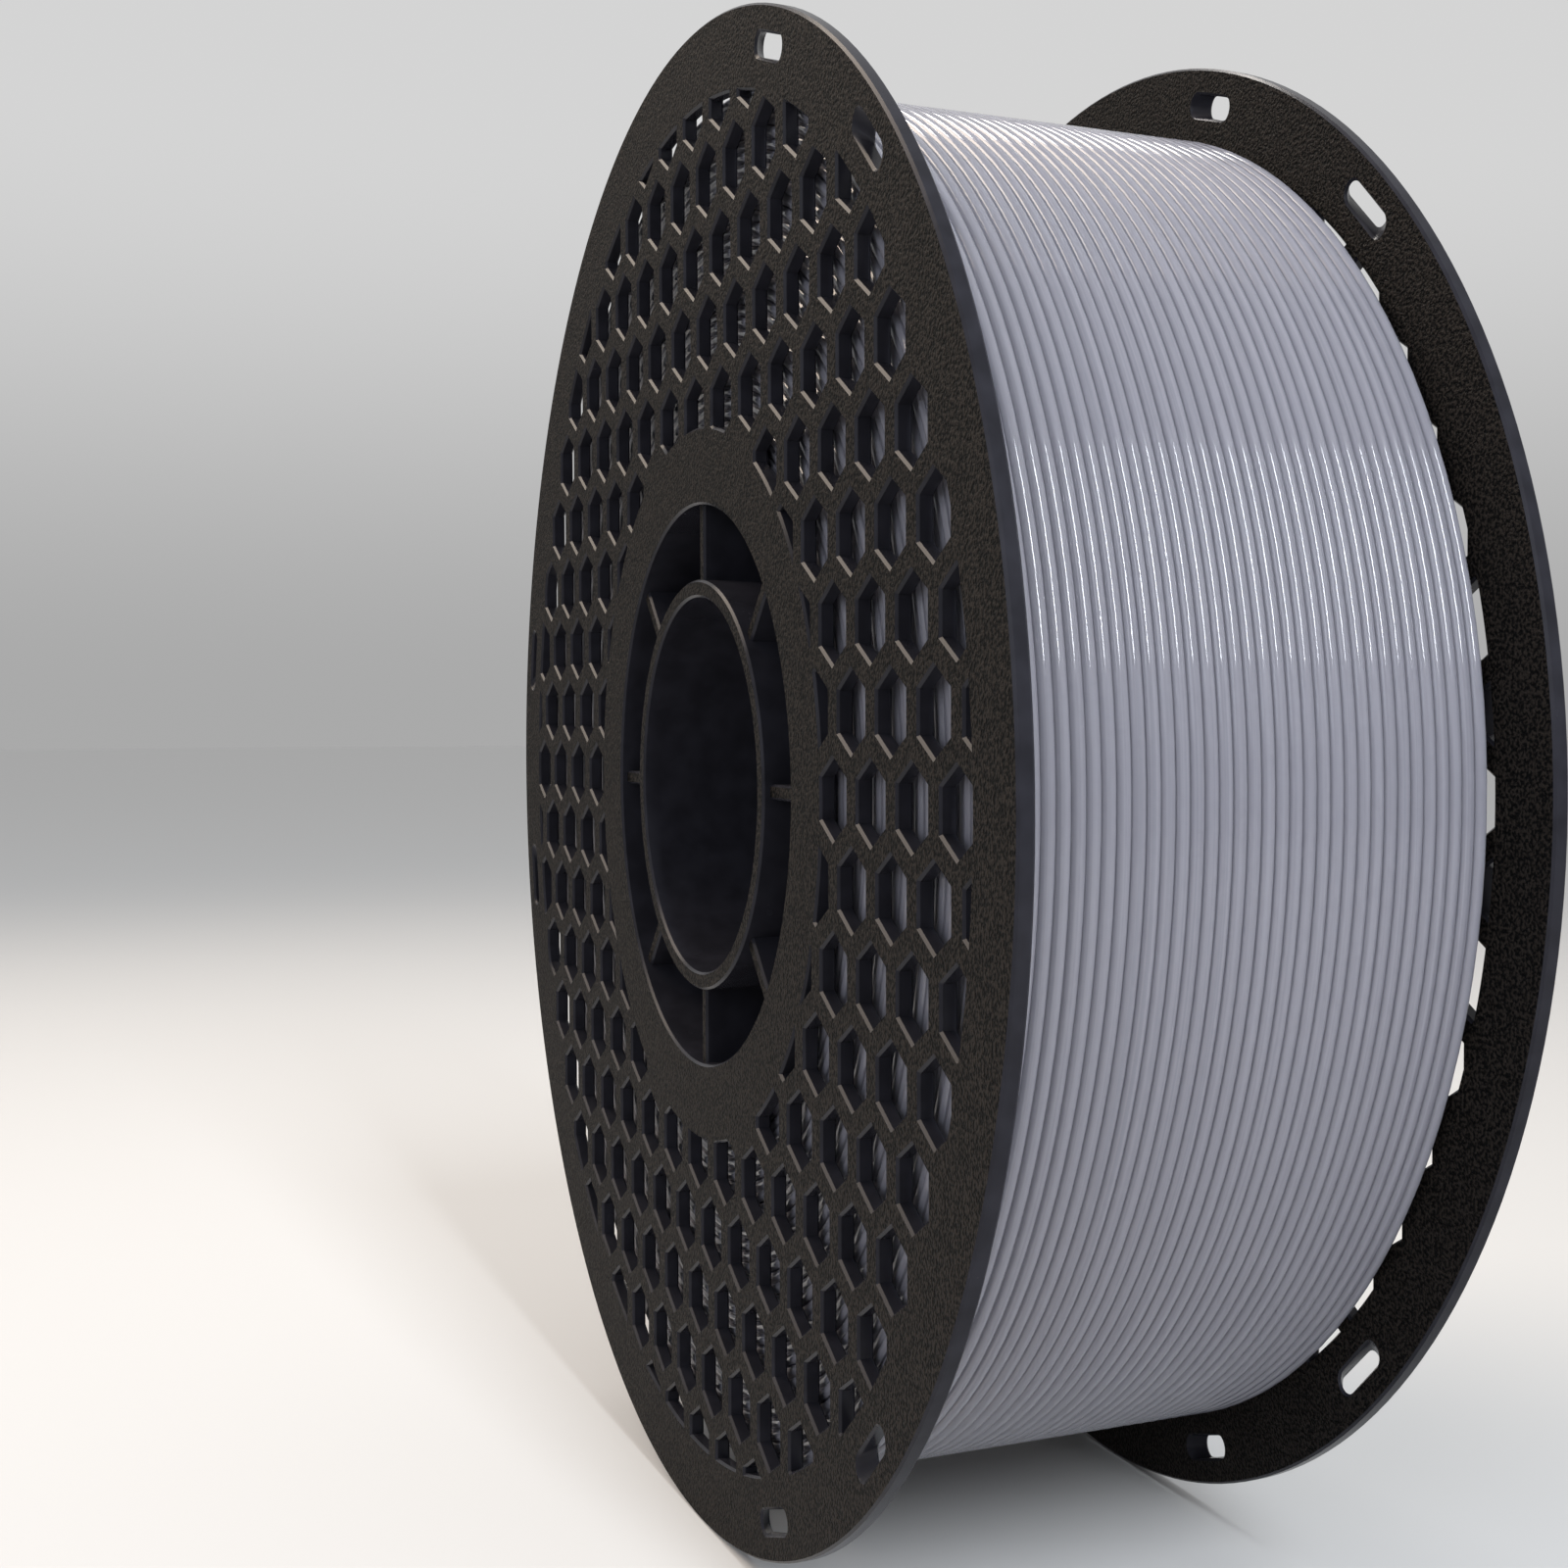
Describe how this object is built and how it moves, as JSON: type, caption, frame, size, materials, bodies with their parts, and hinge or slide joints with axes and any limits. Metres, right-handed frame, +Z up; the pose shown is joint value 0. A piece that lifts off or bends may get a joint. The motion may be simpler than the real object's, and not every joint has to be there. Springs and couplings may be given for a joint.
{
  "type": "filament spool",
  "caption": "Round plastic spool with honeycomb side flanges and a ribbed hub, wound full of thin plastic filament.",
  "frame": {"origin": "centre of the spool: on its axis, midway between the flanges' outer faces", "axes": "+Y along the spool's axis, +Z up with the spool standing on its two rims, honeycomb rows along X"},
  "size_m": [0.2, 0.065, 0.2],
  "materials": {
    "spool_plastic": "fine spark-eroded texture on the flange faces, satin elsewhere",
    "filament_plastic": "glossy extruded thread, cool grey"
  },
  "bodies": {
    "root": {"near_flange": "spool_plastic", "near_drum": "spool_plastic", "near_bore_tube": "spool_plastic", "near_rib_1": "spool_plastic", "near_rib_2": "spool_plastic", "near_rib_3": "spool_plastic", "near_rib_4": "spool_plastic", "near_rib_5": "spool_plastic", "near_rib_6": "spool_plastic", "near_rib_7": "spool_plastic", "near_rib_8": "spool_plastic", "far_flange": "spool_plastic", "far_drum": "spool_plastic", "far_bore_tube": "spool_plastic", "far_rib_1": "spool_plastic", "far_rib_2": "spool_plastic", "far_rib_3": "spool_plastic", "far_rib_4": "spool_plastic", "far_rib_5": "spool_plastic", "far_rib_6": "spool_plastic", "far_rib_7": "spool_plastic", "far_rib_8": "spool_plastic", "filament": "filament_plastic"}
  },
  "joints": []
}
